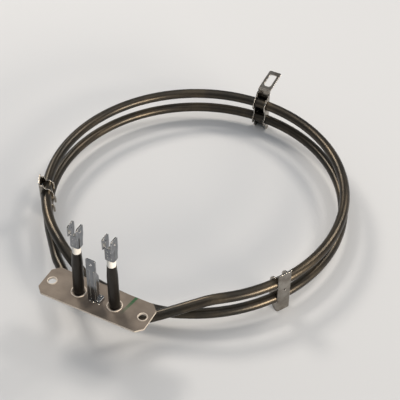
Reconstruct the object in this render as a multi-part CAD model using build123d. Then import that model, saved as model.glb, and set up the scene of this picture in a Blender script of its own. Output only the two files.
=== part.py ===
from build123d import *
from math import atan, cos, degrees, radians, sin, tan
import os

# Two-turn ring heating element for a fan oven. Millimetres.
# Origin: middle of the flange's upper face. +X runs along the flange, +Z up along the legs,
# and the ring lies towards +Y.

# Sheath tube
tube_radius = 3.25
tube_wall = 0.7
turn_radius = 96.75        # centreline of both turns
turn_pitch = 12.4          # from turn to turn
ring_offset_x = 3.9        # ring centre from the flange's middle
ring_offset_y = 116.7
ring_depth = 14.0          # flange face to the plane midway between the turns
leg_spacing = 24.0
leg_height = 34.7          # sheath's end above the flange
left_leg_lean = 3.2        # degrees towards +X
right_leg_lean = 0.8
neck_length = 9.0          # narrowed end of the sheath
neck_radius = 2.75
mouth_bevel = 0.25
knee_radius = 9.0

# Runs from the turns to the legs: where each leaves its turn, and the corner on its way
left_departure = -142.0
left_corner_run = 38.0
left_corner_inset = 2.1
left_corner_rise = 3.2
right_departure = -52.7
right_corner_run = 44.0
right_corner_fall = 8.4
run_lead = 8.0
run_bend_radius = 40.0

# Strand that climbs from the lower turn to the upper one behind the legs:
# azimuth, climb from the lower turn as a share of the pitch, stand-off from the turn radius
strand_start = -65.3
strand_end = -126.0
strand_points = [
    (-76.9, 0.0, 2.0),
    (-93.2, 0.21, -0.25),
    (-106.0, 0.25, 0.65),
    (-118.0, 1.0, 0.95),
]
strand_bend_radii = [70.0, 40.0, 30.0, 30.0]

# Core
core_radius = 1.5          # cold pins and resistance coil
seal_depth = 3.0           # end seal inside the sheath
seal_height = 5.4          # end seal above the sheath
seal_radius = 2.55
seal_round_radius = 0.7

# Flange
flange_length = 70.5
flange_width = 22.2
flange_thickness = 1.2
flange_corner_length = 4.0
flange_round_radius = 0.9
bolt_spacing = 60.5
bolt_hole_radius = 2.5
bolt_rim_width = 0.7
bolt_rim_height = 0.25
collar_radius = 4.35
collar_width = 0.7
collar_height = 0.5

# Twin-blade terminals
blade_width = 6.3
blade_thickness = 0.8
blade_gap = 4.7            # between the two blades
blade_height = 7.7
blade_chamfer = 1.1
blade_hole_radius = 0.9
blade_hole_drop = 3.5      # hole below the blade's tip
blade_offset_y = -0.4      # blades' middle from the leg's axis
base_height = 9.0
base_corner_radius = 1.5
base_foot_width = 4.4
dot_radius = 0.55
dot_height = 0.3
dot_pitch_x = 2.1
dot_pitch_z = 2.3

# Earth tab
earth_width = 6.3
earth_thickness = 0.8
earth_height = 34.5
earth_offset_x = -1.15
earth_offset_y = -2.4
earth_lean = 2.0           # degrees towards +X
earth_tip_length = 0.6
earth_foot_width = 8.0
earth_foot_depth = 5.3
earth_flange_depth = 3.0
earth_flange_height = 25.6
earth_fold_radius = 1.4
earth_hole_radius = 0.9
earth_hole_drop = 3.8
rib_width = 1.1
rib_height = 0.35
rib_spacing = 3.0

# Clips: folded channels at three places round the ring
clip_azimuths = {"left_clip": -151.0, "back_clip": 88.2, "right_clip": -31.0}
sheet_thickness = 0.8
clip_width = 9.4
clip_bend_radius = 1.3     # outside of the fold
clip_foot = 15.5           # below the ring's middle plane
clip_top = 16.2            # above it
hook_clearance = 0.12
hook_width = 1.5           # of the finger that hooks over a turn
hook_tip_length = 3.2      # finger below the turn's middle
shoulder_height = 14.0     # of the side wall beside the web
middle_ledge_length = 2.9  # reach of the wall between the turns, inside the turn radius
foot_reach_length = 1.6    # reach of the wall under the lower turn, inside the turn radius
foot_corner_radius = 3.0
web_hole_radius = 0.8
web_hole_level = 2.4
bracket_length = 18.4
bracket_tilt = 10.0
bracket_width = 9.0
bracket_corner_radius = 1.2
bracket_slot_width = 5.2
bracket_slot_length = 12.0
bracket_slot_radius = 1.9
bracket_slot_margin = 2.9  # slot's end to the bracket's tip

# Worked out from the sizes above
ring_level = -ring_depth
lower_level = ring_level - turn_pitch / 2
upper_level = ring_level + turn_pitch / 2
bore_radius = tube_radius - tube_wall
leg_x = leg_spacing / 2
seal_top = leg_height + seal_height
base_top = seal_top + base_height
blade_top = base_top + blade_height
neck_foot = leg_height - neck_length
neck_bore_radius = neck_radius - tube_wall
plug_foot = leg_height - seal_depth
plug_foot_radius = neck_bore_radius + (bore_radius - neck_bore_radius) * seal_depth / neck_length
pin_top = base_top - blade_thickness


def on_ring(azimuth, level, standoff=0.0):
    """Point at an azimuth round the ring's axis."""
    reach = turn_radius + standoff
    angle = radians(azimuth)
    return Vector(ring_offset_x + reach * cos(angle), ring_offset_y + reach * sin(angle), level)


def leaving(azimuth, level, side, run, inset=0.0):
    """Point on the tangent that leaves the turn at an azimuth, side +1 for rising azimuths."""
    angle = radians(azimuth)
    along = Vector(-sin(angle), cos(angle), 0) * side * run
    inward = Vector(cos(angle), sin(angle), 0) * -inset
    return on_ring(azimuth, level) + along + inward


def leg_lean(side):
    return left_leg_lean if side < 0 else right_leg_lean


def on_leg(side, reach):
    """Point on a leg's axis at a distance above the flange's upper face."""
    lean = radians(leg_lean(side))
    return Vector(side * leg_x + reach * sin(lean), 0, reach * cos(lean))


def upright_on_leg(side):
    """Place of an upright piece that stands on a leg's axis and leans with it."""
    return Pos(side * leg_x, 0, 0) * Rot(0, leg_lean(side), 0)


def leg_route(side, departure, turn_level, corner_run, corner_inset, corner_level, end_reach):
    """Corners of the route from a leg's end down to the turn that it joins."""
    knee = on_leg(side, ring_level / cos(radians(leg_lean(side))))
    turning = -side
    return [
        on_leg(side, end_reach),
        knee,
        leaving(departure, corner_level, turning, corner_run, corner_inset),
        leaving(departure, turn_level, turning, run_lead),
        on_ring(departure, turn_level),
    ]


def leg_path(side, end_reach):
    """Leg, knee and run of one side, from the leg's end to the turn."""
    if side < 0:
        corners = leg_route(side, left_departure, lower_level, left_corner_run,
                            left_corner_inset, lower_level + left_corner_rise, end_reach)
    else:
        corners = leg_route(side, right_departure, upper_level, right_corner_run,
                            0.0, upper_level - right_corner_fall, end_reach)
    return FilletPolyline(*corners, radius=[knee_radius, run_bend_radius, run_bend_radius])


def ring_path():
    """Lower turn, climbing strand and upper turn, all clockwise from the left run."""
    lower_sweep = (strand_start - left_departure) - 360
    upper_sweep = (right_departure - strand_end) - 360
    middle = (ring_offset_x, ring_offset_y)
    lower_turn = CenterArc((*middle, lower_level), turn_radius, left_departure, lower_sweep)
    upper_turn = CenterArc((*middle, upper_level), turn_radius, strand_end, upper_sweep)
    corners = [on_ring(strand_start, lower_level)]
    corners += [on_ring(azimuth, lower_level + climb * turn_pitch, standoff)
                for azimuth, climb, standoff in strand_points]
    corners += [on_ring(strand_end, upper_level)]
    strand = FilletPolyline(*corners, radius=strand_bend_radii)
    return lower_turn, strand, upper_turn


def swept(path, outer, inner=0.0):
    """Round bar or pipe along a path."""
    start = Plane(origin=path @ 0, z_dir=path % 0)
    section = Circle(outer)
    if inner:
        section = section - Circle(inner)
    return sweep(start * section, path=path)


def whole_path(end_reach):
    """Centreline of the element from the left leg's end to the right leg's end."""
    pieces = [*leg_path(-1, end_reach).edges()]
    for stretch in ring_path():
        pieces += stretch.edges()
    pieces += leg_path(1, end_reach).edges()
    return Wire(pieces)


def upright_cone(foot, top, foot_radius, top_radius):
    """Cone on the upright axis between two heights."""
    return Pos(0, 0, foot) * Cone(
        foot_radius, top_radius, top - foot, align=(Align.CENTER, Align.CENTER, Align.MIN))


def spun(*profile):
    """Solid of a closed profile of (radius, height) points turned about the upright axis."""
    return revolve(Plane.XZ * make_face(Polyline(*profile, close=True)), Axis.Z)


def sheath_tube():
    """Tube from leg to leg, narrowed round the end seals."""
    spare = 2 * tube_radius
    low = neck_foot - spare / 4
    flare = (tube_radius - neck_radius) * (neck_foot - low) / neck_length
    liner = spun((bore_radius + flare, low), (bore_radius + tube_wall * 0.6, low),
                 ((neck_bore_radius + neck_radius * 2) / 3, leg_height + 1),
                 (neck_bore_radius - (tube_radius - neck_radius) / neck_length, leg_height + 1))
    shaving = spun((tube_radius + flare, low), (neck_radius, leg_height - mouth_bevel),
                   (neck_radius - mouth_bevel, leg_height), (0, leg_height), (0, leg_height + spare),
                   (spare, leg_height + spare), (spare, low))
    tube = swept(whole_path(leg_height + 1), tube_radius, bore_radius)
    for side in (-1, 1):
        tube += upright_on_leg(side) * liner
        tube -= upright_on_leg(side) * shaving
    return tube


def magnesia_fill():
    """Powder round the core, up to the end seals."""
    neck = upright_cone(neck_foot, plug_foot, bore_radius, plug_foot_radius)
    neck -= Pos(0, 0, neck_foot) * Cylinder(
        core_radius, neck_length, align=(Align.CENTER, Align.CENTER, Align.MIN))
    fill = swept(whole_path(neck_foot), bore_radius, core_radius)
    for side in (-1, 1):
        fill += upright_on_leg(side) * neck
    return fill


def heating_coil():
    pieces = []
    for stretch in ring_path():
        pieces += stretch.edges()
    return swept(Wire(pieces), core_radius)


def cold_pin(side):
    return swept(Wire(leg_path(side, pin_top).edges()), core_radius)


def end_seal(side):
    """Bead that plugs the sheath's end, with a round top edge."""
    plug = upright_cone(plug_foot, leg_height, plug_foot_radius, neck_bore_radius)
    bead = Pos(0, 0, leg_height) * Cylinder(
        seal_radius, seal_height, align=(Align.CENTER, Align.CENTER, Align.MIN))
    bead = fillet(bead.edges().group_by(Axis.Z)[-1], seal_round_radius)
    hole = Pos(0, 0, plug_foot) * Cylinder(
        core_radius, seal_depth + seal_height, align=(Align.CENTER, Align.CENTER, Align.MIN))
    return upright_on_leg(side) * (plug + bead - hole)


def flange_plate():
    """Plate with cut corners, two bolt holes, and a ridge staked up round each leg."""
    outline = Rectangle(flange_length, flange_width)
    outline = chamfer(outline.vertices(), flange_corner_length)
    outline = fillet(outline.vertices(), flange_round_radius)
    plate = extrude(outline, -flange_thickness)
    for side in (-1, 1):
        ridge = Circle(collar_radius + collar_width / 2) - Circle(collar_radius - collar_width / 2)
        ridge = extrude(Pos(side * leg_x, 0, 0) * ridge, collar_height)
        ridge = fillet(ridge.edges().group_by(Axis.Z)[-1], collar_width * 0.4)
        rim = Circle(bolt_hole_radius + bolt_rim_width) - Circle(bolt_hole_radius)
        rim = extrude(Pos(side * bolt_spacing / 2, 0, 0) * rim, bolt_rim_height)
        rim = chamfer(rim.edges().group_by(Axis.Z)[-1].sort_by(Edge.length)[-1], bolt_rim_height * 0.8)
        plate = plate + ridge + rim
        plate -= upright_on_leg(side) * Cylinder(tube_radius, 4 * flange_thickness)
        plate -= Pos(side * bolt_spacing / 2, 0, 0) * Cylinder(bolt_hole_radius, 4 * flange_thickness)
    return plate


def terminal(side):
    """Folded twin-blade terminal: a crimped base on the pin, and two upright blades."""
    edge_front = blade_offset_y - blade_width / 2
    edge_back = blade_offset_y + blade_width / 2
    front = -core_radius - blade_thickness
    shank = front + base_foot_width
    corner = front + base_corner_radius
    outline = Polyline(
        (corner, seal_top), (shank, seal_top), (shank, seal_top + base_height * 0.45),
        (edge_back, base_top), (edge_back, blade_top - blade_chamfer),
        (edge_back - blade_chamfer, blade_top), (edge_front + blade_chamfer, blade_top),
        (edge_front, blade_top - blade_chamfer), (edge_front, base_top),
        (corner, base_top), close=True)
    side_plane = Plane(origin=(0, 0, 0), x_dir=(0, 1, 0), z_dir=(1, 0, 0))
    cheek = extrude(side_plane * make_face(outline), blade_thickness / 2, both=True)
    cheek -= Pos(0, blade_offset_y, blade_top - blade_hole_drop) * Rot(0, 90, 0) * Cylinder(
        blade_hole_radius, 4 * blade_thickness)
    apart = (blade_gap + blade_thickness) / 2
    folded = Pos(apart, 0, 0) * cheek + Pos(-apart, 0, 0) * cheek
    outside = Pos(0, front) * Rectangle(
        blade_gap + 2 * blade_thickness, 2 * base_corner_radius, align=(Align.CENTER, Align.MIN))
    outside = fillet(outside.vertices().group_by(Axis.Y)[0], base_corner_radius)
    inside = Pos(0, front + blade_thickness) * Rectangle(
        blade_gap, 2 * base_corner_radius, align=(Align.CENTER, Align.MIN))
    inside = fillet(inside.vertices().group_by(Axis.Y)[0], base_corner_radius - blade_thickness)
    folded += extrude(Pos(0, 0, seal_top) * (outside - inside), base_height)
    for column in (-0.5, 0.5):
        for row in (-1, 0, 1):
            level = seal_top + base_height / 2 + row * dot_pitch_z
            dot = Pos(column * dot_pitch_x, front, level) * Rot(90, 0, 0) * Cylinder(
                dot_radius, dot_height, align=(Align.CENTER, Align.CENTER, Align.MIN))
            dot = fillet(dot.edges().group_by(Axis.Y)[0], dot_height * 0.8)
            folded += dot
    return upright_on_leg(side) * folded


def earth_tab():
    """Tab folded from one strip: flat foot, leaning face with two ribs, and one stiffening side."""
    half = earth_width / 2
    face = Box(earth_width, earth_thickness, earth_height, align=(Align.CENTER, Align.MIN, Align.MIN))
    tips = face.edges().filter_by(Axis.Y).group_by(Axis.Z)[-1]
    face = chamfer(tips, earth_tip_length)
    stiffener = Pos(half, 0, 0) * Box(
        earth_thickness, earth_flange_depth, earth_flange_height,
        align=(Align.MAX, Align.MIN, Align.MIN))
    slope = stiffener.edges().filter_by(Axis.X).group_by(Axis.Z)[-1].sort_by(Axis.Y)[-1]
    stiffener = chamfer(slope, earth_flange_height * 0.2, earth_flange_depth * 0.8)
    upright = face + stiffener
    rib_length = earth_flange_height - earth_fold_radius
    for across in (-rib_spacing / 2, rib_spacing / 2):
        rib = Pos(across, 0, earth_fold_radius) * Box(
            rib_width, rib_height, rib_length, align=(Align.CENTER, Align.MAX, Align.MIN))
        rib = chamfer(rib.faces().sort_by(Axis.Y)[0].edges(), rib_height * 0.6)
        upright += rib
    upright -= Pos(0, 0, earth_height - earth_hole_drop) * Rot(90, 0, 0) * Cylinder(
        earth_hole_radius, 4 * earth_thickness)
    upright = Pos(0, 0, earth_thickness / 3) * Rot(0, earth_lean, 0) * upright
    foot = Pos(-half, 0, 0) * Box(
        earth_foot_width, earth_foot_depth, earth_thickness, align=(Align.MIN, Align.MIN, Align.MIN))
    foot = fillet(foot.edges().filter_by(Axis.Z).group_by(Axis.X)[-1], earth_thickness)
    return Pos(earth_offset_x, earth_offset_y, 0) * (foot + upright)


def hook(level):
    """Side view of the finger that goes over a turn, in reach from the turn radius and height."""
    outer = tube_radius + hook_clearance + hook_width
    over = Pos(0, level) * Circle(outer)
    over -= Pos(0, level) * Rectangle(4 * outer, 4 * outer, align=(Align.CENTER, Align.MAX))
    drop = Pos(-outer, level) * Rectangle(hook_width, hook_tip_length, align=(Align.MIN, Align.MAX))
    drop = fillet(drop.vertices().group_by(Axis.Y)[0], hook_width * 0.45)
    return over + drop


def clip_side_view():
    """Side view of a clip: web, shoulder, ledge between the turns, and foot."""
    face_reach = tube_radius
    slot_radius = tube_radius + hook_clearance
    half_pitch = turn_pitch / 2
    web = Pos(face_reach, -clip_foot) * Rectangle(
        sheet_thickness, clip_top + clip_foot, align=(Align.MIN, Align.MIN))
    shoulder = make_face(Polyline(
        (0, half_pitch), (0, half_pitch + slot_radius + hook_width),
        (face_reach * 0.4, shoulder_height), (face_reach + sheet_thickness, shoulder_height),
        (face_reach + sheet_thickness, half_pitch), close=True))
    ledge = make_face(Polyline(
        (-middle_ledge_length, -half_pitch + slot_radius), (-middle_ledge_length, half_pitch - slot_radius),
        (0, half_pitch - slot_radius + 0.3), (face_reach + sheet_thickness, half_pitch),
        (face_reach + sheet_thickness, -half_pitch), (0, -half_pitch), close=True))
    foot = Pos(-foot_reach_length, -clip_foot) * Rectangle(
        foot_reach_length + face_reach + sheet_thickness, clip_foot - half_pitch,
        align=(Align.MIN, Align.MIN))
    foot = fillet(foot.vertices().group_by(Axis.Y)[0].sort_by(Axis.X)[0], foot_corner_radius)
    view = shoulder + ledge + foot + hook(half_pitch) + hook(-half_pitch)
    for level in (half_pitch, -half_pitch):
        view -= Pos(0, level) * Circle(slot_radius)
    return view + web


def clip(azimuth, bracket):
    """Channel folded from sheet round both turns, in place on the ring."""
    depth = 2 * (tube_radius + hook_width + hook_clearance)
    outer = Rectangle(depth, clip_width, align=(Align.MAX, Align.CENTER))
    outer = Pos(tube_radius + sheet_thickness, 0) * outer
    outer = fillet(outer.vertices().group_by(Axis.X)[-1], clip_bend_radius)
    inner = Rectangle(depth, clip_width - 2 * sheet_thickness, align=(Align.MAX, Align.CENTER))
    inner = Pos(tube_radius, 0) * inner
    inner = fillet(inner.vertices().group_by(Axis.X)[-1], clip_bend_radius - sheet_thickness)
    channel = extrude(Pos(0, 0, -clip_foot) * (outer - inner), clip_foot + clip_top)
    side_plane = Plane(origin=(0, 0, 0), x_dir=(1, 0, 0), z_dir=(0, -1, 0))
    envelope = extrude(side_plane * clip_side_view(), clip_width, both=True)
    folded = channel & envelope
    folded -= Pos(tube_radius, 0, web_hole_level) * Rot(0, 90, 0) * Cylinder(
        web_hole_radius, 4 * sheet_thickness)
    if bracket:
        folded += clip_bracket(side_plane)
    place = Pos(ring_offset_x, ring_offset_y, ring_level) * Rot(0, 0, azimuth) * Pos(turn_radius, 0, 0)
    return place * folded


def clip_bracket(side_plane):
    """Slotted bracket bent outwards from the top of the back clip's web."""
    fold = clip_bend_radius
    tilt = radians(bracket_tilt)
    bend_x = tube_radius + sheet_thickness / 2
    tip = (bend_x + bracket_length * cos(tilt), clip_top + bracket_length * sin(tilt))
    line = FilletPolyline((bend_x, clip_top - 2 * fold), (bend_x, clip_top), tip, radius=fold)
    strip = extrude(side_plane * trace(line, line_width=sheet_thickness), bracket_width / 2, both=True)
    along = Plane(origin=(bend_x, 0, clip_top), x_dir=(cos(tilt), 0, sin(tilt)),
                  z_dir=(-sin(tilt), 0, cos(tilt)))
    ends = strip.edges().filter_by(
        lambda edge: abs(along.to_local_coords(edge.center()).X - bracket_length) < 0.1
        and abs(edge.length - sheet_thickness) < 0.05)
    strip = fillet(ends, bracket_corner_radius)
    middle = bracket_length - bracket_slot_margin - bracket_slot_length / 2
    slot = along * Pos(middle, 0, 0) * RectangleRounded(
        bracket_slot_length, bracket_slot_width, bracket_slot_radius)
    return strip - extrude(slot, 2 * sheet_thickness, both=True)


parts = {
    "sheath_tube": sheath_tube(),
    "magnesia_fill": magnesia_fill(),
    "heating_coil": heating_coil(),
    "flange_plate": flange_plate(),
    "earth_tab": earth_tab(),
}
for name, side in (("left", -1), ("right", 1)):
    parts[f"{name}_cold_pin"] = cold_pin(side)
    parts[f"{name}_end_seal"] = end_seal(side)
    parts[f"{name}_terminal"] = terminal(side)
for name, azimuth in clip_azimuths.items():
    parts[name] = clip(azimuth, bracket=name == "back_clip")

os.makedirs("parts", exist_ok=True)
for name, shape in parts.items():
    export_step(shape, f"parts/{name}.step")
    print(f"{name:16s} volume {shape.volume:9.1f} mm3")
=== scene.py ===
from math import radians
import bpy
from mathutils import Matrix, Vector


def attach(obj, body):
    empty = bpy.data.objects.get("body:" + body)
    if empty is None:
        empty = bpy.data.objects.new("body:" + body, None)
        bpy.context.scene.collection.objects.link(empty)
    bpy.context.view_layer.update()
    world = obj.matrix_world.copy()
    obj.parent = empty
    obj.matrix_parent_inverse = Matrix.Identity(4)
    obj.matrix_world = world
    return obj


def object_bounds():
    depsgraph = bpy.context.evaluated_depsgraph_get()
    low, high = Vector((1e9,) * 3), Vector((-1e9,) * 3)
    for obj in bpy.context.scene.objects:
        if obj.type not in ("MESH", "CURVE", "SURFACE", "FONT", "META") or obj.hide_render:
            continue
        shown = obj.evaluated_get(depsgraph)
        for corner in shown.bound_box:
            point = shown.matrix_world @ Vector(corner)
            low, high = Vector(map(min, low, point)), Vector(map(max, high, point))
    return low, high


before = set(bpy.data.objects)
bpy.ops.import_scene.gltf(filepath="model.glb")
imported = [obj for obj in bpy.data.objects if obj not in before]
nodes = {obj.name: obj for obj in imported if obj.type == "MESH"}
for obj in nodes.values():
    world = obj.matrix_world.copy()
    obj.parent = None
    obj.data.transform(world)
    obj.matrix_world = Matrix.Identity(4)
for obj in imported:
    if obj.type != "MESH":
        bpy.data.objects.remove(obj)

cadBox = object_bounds()
mm = 0.001
metre = 1000                              # in millimetres, for the scale of a pattern
noiseLow, noiseHigh = 0.3, 0.7            # most of a noise texture's values lie between these
vectorA, vectorB, vectorOut = 4, 5, 1     # a Mix node's socket numbers for vectors
colourA, colourB, colourOut = 6, 7, 2     # and for colours
bpy.ops.object.select_all(action="DESELECT")
print("frame loaded,", len(nodes), "nodes")


# a hex colour as the linear values that Blender works in
def srgb(hexText):
    value = hexText.lstrip("#")
    parts = [int(value[i:i + 2], 16) / 255 for i in (0, 2, 4)]
    return tuple(c / 12.92 if c <= 0.04045 else ((c + 0.055) / 1.055) ** 2.4 for c in parts) + (1.0,)


# a key of settings is a socket's number, "in:" with a socket's name, or a property of the node itself
def addNode(tree, kind, settings=None, links=None):
    node = tree.nodes.new(kind)
    for key, value in (settings or {}).items():
        if isinstance(key, int):
            node.inputs[key].default_value = value
        elif key.startswith("in:"):
            node.inputs[key[3:]].default_value = value
        else:
            setattr(node, key, value)
    for socket, source in (links or {}).items():
        tree.links.new(source, node.inputs[socket])
    return node


def setStops(ramp, tones):
    elements = ramp.color_ramp.elements
    while len(elements) < len(tones):
        elements.new(0.5)
    for element, (place, tone) in zip(elements, tones.items()):
        element.position = place
        element.color = srgb(tone)


def newMaterial(name):
    material = bpy.data.materials.new(name)
    material.use_nodes = True
    tree = material.node_tree
    tree.nodes.clear()
    shader = addNode(tree, "ShaderNodeBsdfPrincipled")
    addNode(tree, "ShaderNodeOutputMaterial", links={"Surface": shader.outputs["BSDF"]})
    return material, tree, shader


# nickel-alloy tube, drawn, bent and bright-annealed, then oxidised in use: a dark brown-grey satin skin with
# draw lines that run with the tube, slow warm and cool drifts of oxide, and duller legs that stay cold
sheathLook = {
    "tones": {0.34: "#3a3936", 0.52: "#46413a", 0.68: "#585044"},    # cool grey, brown, straw
    "legTone": "#383532",
    "metallic": 0.9,
    "rough": (0.29, 0.4),
    "driftMm": 26.0,
    "specksMm": 0.9,
    "specksShade": (0.86, 1.1),
    "lineMm": 0.22,                       # coarser than real draw lines, which would be too fine to show
    "lineRunDegrees": 9.0,
    "legLineSquash": 0.02,
    "wearSpan": (0.7, 1.3),               # lines and specks added together mostly lie between these
    "bumpStrength": 0.25,
    "bumpMm": 0.03,
    "ringCentreMm": (3.9, 116.7),
    "legReachMm": 109.0,                  # farther than this from the ring's centre the tube is a cold leg
    "legFadeMm": 4.0,
}


def oxidisedSheath():
    look = sheathLook
    material, tree, shader = newMaterial("nickelAlloyDrawnOxidised")
    place = addNode(tree, "ShaderNodeTexCoord").outputs["Object"]
    centreX, centreY = look["ringCentreMm"]
    centred = addNode(tree, "ShaderNodeMapping", {"in:Location": (-centreX * mm, -centreY * mm, 0)},
                      {"Vector": place})
    split = addNode(tree, "ShaderNodeSeparateXYZ", links={"Vector": centred.outputs["Vector"]})
    flat = addNode(tree, "ShaderNodeCombineXYZ", links={"X": split.outputs["X"], "Y": split.outputs["Y"]})
    reach = addNode(tree, "ShaderNodeVectorMath", {"operation": "LENGTH"}, {0: flat.outputs["Vector"]})
    bearing = addNode(tree, "ShaderNodeMath", {"operation": "ARCTAN2"}, {
        0: split.outputs["Y"], 1: split.outputs["X"]})
    # round the ring a line is long in bearing and fine in reach and height, and on a leg it runs upward
    lineRun = addNode(tree, "ShaderNodeMath", {
        "operation": "MULTIPLY", 1: look["lineMm"] * mm / radians(look["lineRunDegrees"])}, {
        0: bearing.outputs["Value"]})
    turnLines = addNode(tree, "ShaderNodeCombineXYZ", links={
        "X": reach.outputs["Value"], "Y": lineRun.outputs["Value"], "Z": split.outputs["Z"]})
    legLines = addNode(tree, "ShaderNodeMapping", {"in:Scale": (1, 1, look["legLineSquash"])}, {
        "Vector": place})
    onLeg = addNode(tree, "ShaderNodeMapRange", {
        "in:From Min": look["legReachMm"] * mm,
        "in:From Max": (look["legReachMm"] + look["legFadeMm"]) * mm}, {"Value": reach.outputs["Value"]})
    along = addNode(tree, "ShaderNodeMix", {"data_type": "VECTOR"}, {
        "Factor": onLeg.outputs["Result"], vectorA: turnLines.outputs["Vector"],
        vectorB: legLines.outputs["Vector"]})
    lines = addNode(tree, "ShaderNodeTexNoise", {"in:Scale": metre / look["lineMm"], "in:Detail": 2.0}, {
        "Vector": along.outputs[vectorOut]})
    specks = addNode(tree, "ShaderNodeTexNoise", {"in:Scale": metre / look["specksMm"], "in:Detail": 3.0}, {
        "Vector": place})
    drift = addNode(tree, "ShaderNodeTexNoise", {
        "in:Scale": metre / look["driftMm"], "in:Detail": 5.0, "in:Roughness": 0.55}, {"Vector": place})
    tint = addNode(tree, "ShaderNodeValToRGB", links={"Fac": drift.outputs["Fac"]})
    setStops(tint, look["tones"])
    skin = addNode(tree, "ShaderNodeMix", {"data_type": "RGBA", colourB: srgb(look["legTone"])}, {
        "Factor": onLeg.outputs["Result"], colourA: tint.outputs["Color"]})
    shade = addNode(tree, "ShaderNodeMapRange", {
        "in:From Min": noiseLow, "in:From Max": noiseHigh,
        "in:To Min": look["specksShade"][0], "in:To Max": look["specksShade"][1]}, {
        "Value": specks.outputs["Fac"]})
    base = addNode(tree, "ShaderNodeVectorMath", {"operation": "SCALE"}, {
        0: skin.outputs[colourOut], "Scale": shade.outputs["Result"]})
    wear = addNode(tree, "ShaderNodeMath", {"operation": "ADD"}, {
        0: lines.outputs["Fac"], 1: specks.outputs["Fac"]})
    rough = addNode(tree, "ShaderNodeMapRange", {
        "in:From Min": look["wearSpan"][0], "in:From Max": look["wearSpan"][1],
        "in:To Min": look["rough"][0], "in:To Max": look["rough"][1]}, {"Value": wear.outputs["Value"]})
    bump = addNode(tree, "ShaderNodeBump", {
        "in:Strength": look["bumpStrength"], "in:Distance": look["bumpMm"] * mm}, {
        "Height": wear.outputs["Value"]})
    shader.inputs["Metallic"].default_value = look["metallic"]
    tree.links.new(base.outputs["Vector"], shader.inputs["Base Color"])
    tree.links.new(rough.outputs["Result"], shader.inputs["Roughness"])
    tree.links.new(bump.outputs["Normal"], shader.inputs["Normal"])
    return material


# sheet metal's edges: rounded in the shading, with a weight that grows where they turn from the face; it
# paints a highlight into the colour, standing in for the light the edges catch
glintEdgeLook = {"samples": 12, "startCosine": 0.98, "fullCosine": 0.82}


def roundedEdgeAndGlint(tree, radiusMm):
    rounded = addNode(tree, "ShaderNodeBevel", {"samples": glintEdgeLook["samples"], "in:Radius": radiusMm * mm})
    face = addNode(tree, "ShaderNodeNewGeometry")
    turn = addNode(tree, "ShaderNodeVectorMath", {"operation": "DOT_PRODUCT"}, {
        0: rounded.outputs["Normal"], 1: face.outputs["Normal"]})
    edgeWeight = addNode(tree, "ShaderNodeMapRange", {
        "in:From Min": glintEdgeLook["startCosine"], "in:From Max": glintEdgeLook["fullCosine"]}, {
        "Value": turn.outputs["Value"]})
    return rounded.outputs["Normal"], edgeWeight.outputs["Result"]


# cold-rolled steel, pressed and tinted by heat: taupe and matt on its faces, with a painted highlight on its
# cut walls, proud rims and edges
flangeLook = {
    "tones": {0.3: "#685f57", 0.5: "#746b62", 0.72: "#7f756c"},
    # painted highlight tone for the cut walls, proud rims and edges
    "highlightTone": "#cfc6bb",
    "metallic": 0.5,
    "rough": (0.5, 0.62),
    "cloudMm": 11.0,
    "grainMm": 0.5,
    "grainSquash": 0.06,                  # the rolling runs along the plate
    "wallFacing": (0.3, 0.85),            # from wall to face, by how far the surface looks up or down
    "proudMm": (0.05, 0.3),               # height over the plate at which rims and rings take the painted highlight tone
    "bumpStrength": 0.2,
    "bumpMm": 0.03,
    "edgeMm": 0.25,
}

# one stroke of green marker across the plate, soaked in at the back edge and rubbed away toward the front
markerLook = {
    "ink": "#125027",
    "metallic": 0.1,
    "placeMm": (19.4, 5.0),
    "turnDegrees": -10.1,
    "wideMm": 2.0,
    "softEdge": (0.38, 0.56),             # shares of the width, out from the middle, over which it ends
    "fadeMm": (-10.0, 2.0),
    "patchSpan": (0.35, 0.6),
    "patchLeast": 0.75,
    "faceUp": (0.5, 0.9),
}


def markerStroke(tree, place, facing, grain):
    look = markerLook
    placeX, placeY = look["placeMm"]
    turned = addNode(tree, "ShaderNodeMapping", {
        "vector_type": "TEXTURE", "in:Location": (placeX * mm, placeY * mm, 0),
        "in:Rotation": (0, 0, radians(look["turnDegrees"]))}, {"Vector": place})
    stroke = addNode(tree, "ShaderNodeSeparateXYZ", links={"Vector": turned.outputs["Vector"]})
    away = addNode(tree, "ShaderNodeMath", {"operation": "ABSOLUTE"}, {0: stroke.outputs["X"]})
    band = addNode(tree, "ShaderNodeMapRange", {
        "in:From Min": look["softEdge"][0] * look["wideMm"] * mm,
        "in:From Max": look["softEdge"][1] * look["wideMm"] * mm,
        "in:To Min": 1.0, "in:To Max": 0.0}, {"Value": away.outputs["Value"]})
    glintTone = addNode(tree, "ShaderNodeMapRange", {
        "in:From Min": look["fadeMm"][0] * mm, "in:From Max": look["fadeMm"][1] * mm}, {
        "Value": stroke.outputs["Y"]})
    patchy = addNode(tree, "ShaderNodeMapRange", {
        "in:From Min": look["patchSpan"][0], "in:From Max": look["patchSpan"][1],
        "in:To Min": look["patchLeast"]}, {"Value": grain.outputs["Fac"]})
    onFace = addNode(tree, "ShaderNodeMapRange", {
        "in:From Min": look["faceUp"][0], "in:From Max": look["faceUp"][1]}, {"Value": facing.outputs["Z"]})
    ink = band.outputs["Result"]
    for part in (glintTone, patchy, onFace):
        product = addNode(tree, "ShaderNodeMath", {"operation": "MULTIPLY"}, {
            0: ink, 1: part.outputs["Result"]})
        ink = product.outputs["Value"]
    return ink


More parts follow.
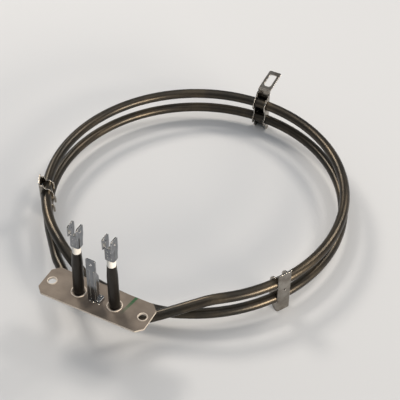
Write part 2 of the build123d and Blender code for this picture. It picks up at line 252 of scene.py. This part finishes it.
def flangeSteel():
    look = flangeLook
    material, tree, shader = newMaterial("steelColdRolledPressed")
    coords = addNode(tree, "ShaderNodeTexCoord")
    place = coords.outputs["Object"]
    facing = addNode(tree, "ShaderNodeSeparateXYZ", links={"Vector": coords.outputs["Normal"]})
    cloud = addNode(tree, "ShaderNodeTexNoise", {"in:Scale": metre / look["cloudMm"], "in:Detail": 5.0}, {
        "Vector": place})
    rolled = addNode(tree, "ShaderNodeMapping", {"in:Scale": (look["grainSquash"], 1, 1)}, {"Vector": place})
    grain = addNode(tree, "ShaderNodeTexNoise", {"in:Scale": metre / look["grainMm"], "in:Detail": 3.0}, {
        "Vector": rolled.outputs["Vector"]})
    tint = addNode(tree, "ShaderNodeValToRGB", links={"Fac": cloud.outputs["Fac"]})
    setStops(tint, look["tones"])
    # painted highlight: walls cut by the press, rims and staked rings that stand proud of the plate, and all
    # edges get a lighter tone, standing in for the light they catch
    upright = addNode(tree, "ShaderNodeMath", {"operation": "ABSOLUTE"}, {0: facing.outputs["Z"]})
    wallHighlight = addNode(tree, "ShaderNodeMapRange", {
        "in:From Min": look["wallFacing"][0], "in:From Max": look["wallFacing"][1],
        "in:To Min": 1.0, "in:To Max": 0.0}, {"Value": upright.outputs["Value"]})
    height = addNode(tree, "ShaderNodeSeparateXYZ", links={"Vector": place})
    proud = addNode(tree, "ShaderNodeMapRange", {
        "in:From Min": look["proudMm"][0] * mm, "in:From Max": look["proudMm"][1] * mm}, {
        "Value": height.outputs["Z"]})
    rounded, edgeWeight = roundedEdgeAndGlint(tree, look["edgeMm"])
    highlightMask = wallHighlight.outputs["Result"]
    for part in (proud.outputs["Result"], edgeWeight):
        fullerHighlight = addNode(tree, "ShaderNodeMath", {"operation": "MAXIMUM"}, {0: highlightMask, 1: part})
        highlightMask = fullerHighlight.outputs["Value"]
    # painted highlight: the lighter tone is mixed into the colour wherever the highlight mask is on
    skin = addNode(tree, "ShaderNodeMix", {"data_type": "RGBA", colourB: srgb(look["highlightTone"])}, {
        "Factor": highlightMask, colourA: tint.outputs["Color"]})
    ink = markerStroke(tree, place, facing, grain)
    inked = addNode(tree, "ShaderNodeMix", {"data_type": "RGBA", colourB: srgb(markerLook["ink"])}, {
        "Factor": ink, colourA: skin.outputs[colourOut]})
    metal = addNode(tree, "ShaderNodeMapRange", {
        "in:To Min": look["metallic"], "in:To Max": markerLook["metallic"]}, {"Value": ink})
    rough = addNode(tree, "ShaderNodeMapRange", {
        "in:From Min": noiseLow, "in:From Max": noiseHigh,
        "in:To Min": look["rough"][0], "in:To Max": look["rough"][1]}, {"Value": grain.outputs["Fac"]})
    bump = addNode(tree, "ShaderNodeBump", {
        "in:Strength": look["bumpStrength"], "in:Distance": look["bumpMm"] * mm}, {
        "Height": grain.outputs["Fac"], "Normal": rounded})
    tree.links.new(metal.outputs["Result"], shader.inputs["Metallic"])
    tree.links.new(inked.outputs[colourOut], shader.inputs["Base Color"])
    tree.links.new(rough.outputs["Result"], shader.inputs["Roughness"])
    tree.links.new(bump.outputs["Normal"], shader.inputs["Normal"])
    return material


# bright metals share one build: rolling or drawing lines in the gloss, a slow change of tone, and edges that
# are rougher than the face and carry a painted highlight in their colour
brightBuild = {
    "metallic": 1.0, "dullAt": 0.36, "toneAt": 0.62, "edgeRough": 0.45,
    "bumpStrength": 0.15, "bumpMm": 0.02,
}


def brightMetal(name, look):
    build = brightBuild
    material, tree, shader = newMaterial(name)
    place = addNode(tree, "ShaderNodeTexCoord").outputs["Object"]
    drawn = addNode(tree, "ShaderNodeMapping", {"in:Scale": look["squash"]}, {"Vector": place})
    lines = addNode(tree, "ShaderNodeTexNoise", {"in:Scale": metre / look["lineMm"], "in:Detail": 3.0}, {
        "Vector": drawn.outputs["Vector"]})
    cloud = addNode(tree, "ShaderNodeTexNoise", {"in:Scale": metre / look["cloudMm"], "in:Detail": 4.0}, {
        "Vector": place})
    tint = addNode(tree, "ShaderNodeValToRGB", links={"Fac": cloud.outputs["Fac"]})
    setStops(tint, {build["dullAt"]: look["dull"], build["toneAt"]: look["tone"]})
    rough = addNode(tree, "ShaderNodeMapRange", {
        "in:From Min": noiseLow, "in:From Max": noiseHigh,
        "in:To Min": look["rough"][0], "in:To Max": look["rough"][1]}, {"Value": lines.outputs["Fac"]})
    rounded, edgeWeight = roundedEdgeAndGlint(tree, look["edgeMm"])
    scuff = addNode(tree, "ShaderNodeMath", {"operation": "MULTIPLY", 1: build["edgeRough"]}, {0: edgeWeight})
    gloss = addNode(tree, "ShaderNodeMath", {"operation": "MAXIMUM"}, {
        0: rough.outputs["Result"], 1: scuff.outputs["Value"]})
    # painted highlight: a bright tone mixed into the colour along the edges, for the light they catch
    glintedTint = addNode(tree, "ShaderNodeMix", {"data_type": "RGBA", colourB: srgb(look["glintTone"])}, {
        "Factor": edgeWeight, colourA: tint.outputs["Color"]})
    bump = addNode(tree, "ShaderNodeBump", {
        "in:Strength": build["bumpStrength"], "in:Distance": build["bumpMm"] * mm}, {
        "Height": lines.outputs["Fac"], "Normal": rounded})
    shader.inputs["Metallic"].default_value = build["metallic"]
    tree.links.new(glintedTint.outputs[colourOut], shader.inputs["Base Color"])
    tree.links.new(gloss.outputs["Value"], shader.inputs["Roughness"])
    tree.links.new(bump.outputs["Normal"], shader.inputs["Normal"])
    return material


# stainless strip, slit and folded cold: clean and bright, with a little straw tint from the hot tube
clipLook = {
    "tone": "#a39e96", "dull": "#857e75", "glintTone": "#efebe4", "rough": (0.14, 0.26),
    "lineMm": 0.25, "cloudMm": 6.0, "squash": (1, 1, 0.05), "edgeMm": 0.28,
}
# steel strip, stamped and nickel plated: a hard cool mirror with faint plating streaks
tabLook = {
    "tone": "#8f9194", "dull": "#7a7d81", "glintTone": "#f4f3f0", "rough": (0.08, 0.2),
    "lineMm": 0.2, "cloudMm": 4.0, "squash": (1, 1, 0.06), "edgeMm": 0.28,
}
# steel melted and thrown out by a spot weld: small frozen drops, as bright as polished steel
weldLook = {
    "tone": "#dedad2", "dull": "#b9b3a9", "glintTone": "#e6e2da", "rough": (0.12, 0.25),
    "lineMm": 0.3, "cloudMm": 1.0, "squash": (1, 1, 1), "edgeMm": 0.05,
}
# steel rod, drawn and plated: a satin grey with fine lines along the pin
pinLook = {
    "tone": "#a9a8a4", "dull": "#84827d", "glintTone": "#c9c7c1", "rough": (0.2, 0.36),
    "lineMm": 0.2, "cloudMm": 3.0, "squash": (1, 1, 0.05), "edgeMm": 0.1,
}
# resistance wire, drawn and wound: a warm dull grey, seen only where the sheath is cut open
coilLook = {
    "tone": "#8c857a", "dull": "#5f584f", "glintTone": "#a39b8e", "rough": (0.3, 0.45),
    "lineMm": 0.3, "cloudMm": 3.0, "squash": (1, 1, 1), "edgeMm": 0.05,
}

# white ceramics share one build: a dense dry body with a faint speckle
ceramicBuild = {"dullAt": 0.35, "toneAt": 0.6, "bumpStrength": 0.2, "bumpMm": 0.04}


def whiteCeramic(name, look):
    build = ceramicBuild
    material, tree, shader = newMaterial(name)
    place = addNode(tree, "ShaderNodeTexCoord").outputs["Object"]
    grain = addNode(tree, "ShaderNodeTexNoise", {"in:Scale": metre / look["grainMm"], "in:Detail": 4.0}, {
        "Vector": place})
    tint = addNode(tree, "ShaderNodeValToRGB", links={"Fac": grain.outputs["Fac"]})
    setStops(tint, {build["dullAt"]: look["dull"], build["toneAt"]: look["tone"]})
    bump = addNode(tree, "ShaderNodeBump", {
        "in:Strength": build["bumpStrength"], "in:Distance": build["bumpMm"] * mm}, {
        "Height": grain.outputs["Fac"]})
    shader.inputs["Roughness"].default_value = look["rough"]
    tree.links.new(tint.outputs["Color"], shader.inputs["Base Color"])
    tree.links.new(bump.outputs["Normal"], shader.inputs["Normal"])
    return material


# steatite, pressed and fired without a glaze: bright white and soft in its highlights
sealLook = {"tone": "#eae8e3", "dull": "#dcdad4", "rough": 0.6, "grainMm": 0.6}
# magnesia, compacted as powder: chalky and a little darker than the seals
powderLook = {"tone": "#e4e0d8", "dull": "#cbc6bc", "rough": 0.85, "grainMm": 0.4}

sheathMaterial = oxidisedSheath()
flangeMaterial = flangeSteel()
clipMaterial = brightMetal("stainlessStripFolded", clipLook)
tabMaterial = brightMetal("steelStampedNickelPlated", tabLook)
weldMaterial = brightMetal("steelSpotWeldDrops", weldLook)
pinMaterial = brightMetal("steelRodDrawnPlated", pinLook)
coilMaterial = brightMetal("resistanceWireWound", coilLook)
sealMaterial = whiteCeramic("steatiteFired", sealLook)
powderMaterial = whiteCeramic("magnesiaCompacted", powderLook)

nodeFinish = {
    "sheath_tube": sheathMaterial, "flange_plate": flangeMaterial, "earth_tab": tabMaterial,
    "left_terminal": tabMaterial, "right_terminal": tabMaterial, "left_cold_pin": pinMaterial,
    "right_cold_pin": pinMaterial, "heating_coil": coilMaterial, "magnesia_fill": powderMaterial,
    "left_end_seal": sealMaterial, "right_end_seal": sealMaterial, "left_clip": clipMaterial,
    "back_clip": clipMaterial, "right_clip": clipMaterial,
}
for name, material in nodeFinish.items():
    mesh = nodes[name].data
    mesh.materials.clear()
    mesh.materials.append(material)
print("node materials assigned")


# spot-weld nuggets squeezed out along the front of the earth tab's foot, and one on the foot itself
weldBeads = {
    "radiusMm": 0.55,
    "flatten": 0.6,
    "segments": 20,
    "rings": 12,
    "placesMm": [(-2.6, -3.05, 0.0), (-0.5, -3.3, 0.0), (0.5, -3.0, 0.0), (3.2, -3.2, 0.0), (1.9, 1.9, 0.8)],
}


def makeWeldBeads():
    bpy.ops.object.select_all(action="DESELECT")
    ball = {"segments": weldBeads["segments"], "ring_count": weldBeads["rings"],
            "radius": weldBeads["radiusMm"] * mm}
    places = [tuple(c * mm for c in place) for place in weldBeads["placesMm"]]
    bpy.ops.mesh.primitive_uv_sphere_add(location=places[0], **ball)
    beads = bpy.context.object
    beads.name = "earth_tab_welds"
    bpy.ops.object.transform_apply(location=True, rotation=True, scale=True)
    bpy.ops.object.mode_set(mode="EDIT")
    bpy.ops.mesh.select_all(action="SELECT")
    for place in places:
        if place != places[0]:
            bpy.ops.mesh.select_all(action="DESELECT")
            bpy.ops.mesh.primitive_uv_sphere_add(location=place, **ball)
        bpy.ops.transform.resize(value=(1, 1, weldBeads["flatten"]), center_override=place)
    bpy.ops.object.mode_set(mode="OBJECT")
    bpy.ops.object.shade_smooth()
    beads.data.materials.append(weldMaterial)
    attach(beads, "root")


makeWeldBeads()
print("weld beads made,", len(weldBeads["placesMm"]))


# matt paper, pale and cool, laid just under the clips' feet
floorLook = {
    "tone": "#d3d6da", "rough": 0.9, "specular": 0.2,
    "dropMm": 0.05, "centre": (0.004, 0.11), "radius": 2.6, "corners": 96,
}


def makeFloor():
    look = floorLook
    bpy.ops.object.select_all(action="DESELECT")
    centreX, centreY = look["centre"]
    level = cadBox[0][2] - look["dropMm"] * mm
    bpy.ops.mesh.primitive_circle_add(vertices=look["corners"], radius=look["radius"], fill_type="NGON",
                                      location=(centreX, centreY, level))
    floor = bpy.context.object
    floor.name = "floor"
    bpy.ops.object.transform_apply(location=True, rotation=True, scale=True)
    material, tree, shader = newMaterial("floorPaper")
    shader.inputs["Base Color"].default_value = srgb(look["tone"])
    shader.inputs["Roughness"].default_value = look["rough"]
    shader.inputs["Specular IOR Level"].default_value = look["specular"]
    floor.data.materials.append(material)


# two warm strips behind and a low one at the right light the ring and the blades from the side, and a wide
# one overhead fills; places in metres, power in watts
lampLooks = {
    "lowRight": {"place": (1.35, -0.29, 0.24), "aim": (0.05, 0.06, -0.01), "size": (0.76, 0.27),
                 "power": 3.8, "tint": "#fff1de", "spreadDegrees": 70},
    "backRight": {"place": (0.36, 0.72, 0.69), "aim": (0.05, 0.1, 0.0), "size": (0.3, 0.18),
                  "power": 3.0, "tint": "#fff4e6", "spreadDegrees": 180},
    "backLeft": {"place": (-0.62, 0.44, 0.64), "aim": (-0.03, 0.1, 0.0), "size": (0.3, 0.18),
                 "power": 4.2, "tint": "#fff4e6", "spreadDegrees": 180},
    "overhead": {"place": (0.2, 0.1, 2.2), "aim": (0.0, 0.1, 0.0), "size": (2.6, 2.6),
                 "power": 12.0, "tint": "#ffffff", "spreadDegrees": 180},
}


def addLamp(name, look):
    bpy.ops.object.light_add(type="AREA", location=look["place"])
    lamp = bpy.context.object
    lamp.name = name
    toward = Vector(look["aim"]) - Vector(look["place"])
    lamp.rotation_euler = toward.to_track_quat("-Z", "Y").to_euler()
    lamp.data.shape = "RECTANGLE"
    lamp.data.size, lamp.data.size_y = look["size"]
    lamp.data.energy = look["power"]
    lamp.data.spread = radians(look["spreadDegrees"])
    lamp.data.color = srgb(look["tint"])[:3]


airLook = {"tone": "#dde2e8", "strength": 0.33}


def fillAir():
    world = bpy.data.worlds.new("studioAir")
    world.use_nodes = True
    bpy.context.scene.world = world
    background = world.node_tree.nodes["Background"]
    background.inputs["Color"].default_value = srgb(airLook["tone"])
    background.inputs["Strength"].default_value = airLook["strength"]


cameraView = {
    "place": (0.229544, -0.316758, 0.4549), "turnDegrees": (45.7855, 0.1318, 27.0293),
    "lensMm": 92.964, "sensorMm": 36.0,
}


def placeCamera():
    turn = [radians(a) for a in cameraView["turnDegrees"]]
    bpy.ops.object.camera_add(location=cameraView["place"], rotation=turn)
    camera = bpy.context.object
    camera.data.sensor_width = cameraView["sensorMm"]
    camera.data.lens = cameraView["lensMm"]
    bpy.context.scene.camera = camera


makeFloor()
for name, look in lampLooks.items():
    addLamp(name, look)
fillAir()
placeCamera()
bpy.context.scene.view_settings.view_transform = "Standard"
print("floor, light and camera set")
